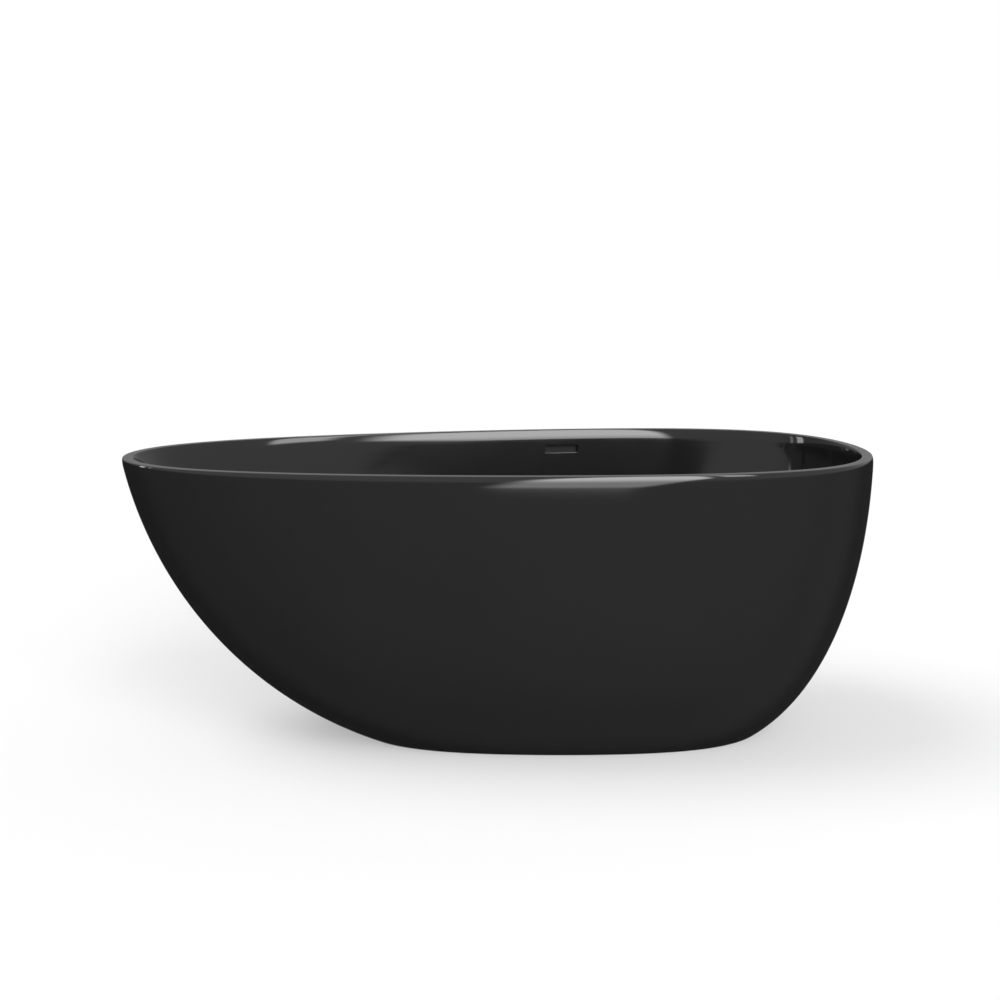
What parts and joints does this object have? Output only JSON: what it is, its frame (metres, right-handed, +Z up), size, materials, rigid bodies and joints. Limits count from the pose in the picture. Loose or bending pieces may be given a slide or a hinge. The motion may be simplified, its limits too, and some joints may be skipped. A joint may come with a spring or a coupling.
{
  "type": "freestanding bathtub",
  "caption": "Egg-shaped double-skinned freestanding bathtub with a thin flat rim, a sloping back, a slot overflow, a click plug and screw-down feet under a hidden frame.",
  "frame": {"origin": "on the floor, under the middle of the rim's length and width", "axes": "+X along the length towards the steep foot end, +Y towards the wall with the overflow slot, +Z up"},
  "size_m": [1.4979, 0.749, 0.58],
  "materials": {
    "gloss_black_acrylic": "polished high gloss",
    "plywood": "sealed plywood",
    "galvanised_steel": "galvanised",
    "zinc_hardware": "bright zinc plate",
    "foot_rubber": "matt moulded rubber",
    "chrome": "polished chrome",
    "brass": "turned brass",
    "stainless": "bright stainless",
    "seal_rubber": "soft black rubber",
    "white_plastic": "moulded waste fitting",
    "black_plastic": "black moulded overflow box",
    "hose_plastic": "flexible corrugated hose"
  },
  "bodies": {
    "tub": {"basin_shell": "gloss_black_acrylic", "outer_skirt": "gloss_black_acrylic", "base_board": "plywood", "crossbar_head": "galvanised_steel", "crossbar_middle": "galvanised_steel", "crossbar_foot": "galvanised_steel", "skirt_brackets": "galvanised_steel", "crossbar_screws": "zinc_hardware", "bracket_bolts": "zinc_hardware", "foot_weld_nuts": "zinc_hardware", "foot_lock_nuts": "zinc_hardware", "drain_flange": "chrome", "plug_cartridge": "brass", "plug_spring": "stainless", "hose_clamps": "stainless", "drain_flange_seal": "seal_rubber", "drain_gasket": "seal_rubber", "outlet_washer": "seal_rubber", "overflow_gasket": "seal_rubber", "drain_body": "white_plastic", "outlet_slip_nut": "white_plastic", "drain_tailpiece": "white_plastic", "overflow_housing": "black_plastic", "overflow_hose": "hose_plastic"},
    "plug": {"plug_cap": "chrome", "plug_seal": "seal_rubber", "plug_stem": "stainless"},
    "levelling_pad_1": {"foot_pad_1": "foot_rubber"},
    "levelling_stud_1": {"foot_stud_1": "zinc_hardware"},
    "levelling_pad_2": {"foot_pad_2": "foot_rubber"},
    "levelling_stud_2": {"foot_stud_2": "zinc_hardware"},
    "levelling_pad_3": {"foot_pad_3": "foot_rubber"},
    "levelling_stud_3": {"foot_stud_3": "zinc_hardware"},
    "levelling_pad_4": {"foot_pad_4": "foot_rubber"},
    "levelling_stud_4": {"foot_stud_4": "zinc_hardware"},
    "levelling_pad_5": {"foot_pad_5": "foot_rubber"},
    "levelling_stud_5": {"foot_stud_5": "zinc_hardware"}
  },
  "joints": [
    {"name": "plug_lift", "type": "slide", "parent": "tub", "child": "plug", "axis": [0, 0, 1], "range_m": [-0.001, 0.009], "deforming": ["plug_spring"]},
    {"name": "pad_height_1", "type": "slide", "parent": "tub", "child": "levelling_pad_1", "axis": [0, 0, 1], "range_m": [-0.018, 0.008]},
    {"name": "stud_turn_1", "type": "hinge", "parent": "levelling_pad_1", "child": "levelling_stud_1", "pos_m": [-0.12, -0.05, 0.05], "axis": [0, 0, 1], "range_deg": [-4325, 1925]},
    {"name": "pad_height_2", "type": "slide", "parent": "tub", "child": "levelling_pad_2", "axis": [0, 0, 1], "range_m": [-0.018, 0.008]},
    {"name": "stud_turn_2", "type": "hinge", "parent": "levelling_pad_2", "child": "levelling_stud_2", "pos_m": [-0.12, 0.05, 0.05], "axis": [0, 0, 1], "range_deg": [-4325, 1925]},
    {"name": "pad_height_3", "type": "slide", "parent": "tub", "child": "levelling_pad_3", "axis": [0, 0, 1], "range_m": [-0.018, 0.008]},
    {"name": "stud_turn_3", "type": "hinge", "parent": "levelling_pad_3", "child": "levelling_stud_3", "pos_m": [0.41, -0.066, 0.05], "axis": [0, 0, 1], "range_deg": [-4325, 1925]},
    {"name": "pad_height_4", "type": "slide", "parent": "tub", "child": "levelling_pad_4", "axis": [0, 0, 1], "range_m": [-0.018, 0.008]},
    {"name": "stud_turn_4", "type": "hinge", "parent": "levelling_pad_4", "child": "levelling_stud_4", "pos_m": [0.41, 0.066, 0.05], "axis": [0, 0, 1], "range_deg": [-4325, 1925]},
    {"name": "pad_height_5", "type": "slide", "parent": "tub", "child": "levelling_pad_5", "axis": [0, 0, 1], "range_m": [-0.018, 0.008]},
    {"name": "stud_turn_5", "type": "hinge", "parent": "levelling_pad_5", "child": "levelling_stud_5", "pos_m": [0.04, 0, 0.05], "axis": [0, 0, 1], "range_deg": [-4325, 1925]}
  ],
  "couplings": [
    {"joint": "stud_turn_1", "follows": "pad_height_1", "rad_per_m": 4188.8},
    {"joint": "stud_turn_2", "follows": "pad_height_2", "rad_per_m": 4188.8},
    {"joint": "stud_turn_3", "follows": "pad_height_3", "rad_per_m": 4188.8},
    {"joint": "stud_turn_4", "follows": "pad_height_4", "rad_per_m": 4188.8},
    {"joint": "stud_turn_5", "follows": "pad_height_5", "rad_per_m": 4188.8}
  ]
}
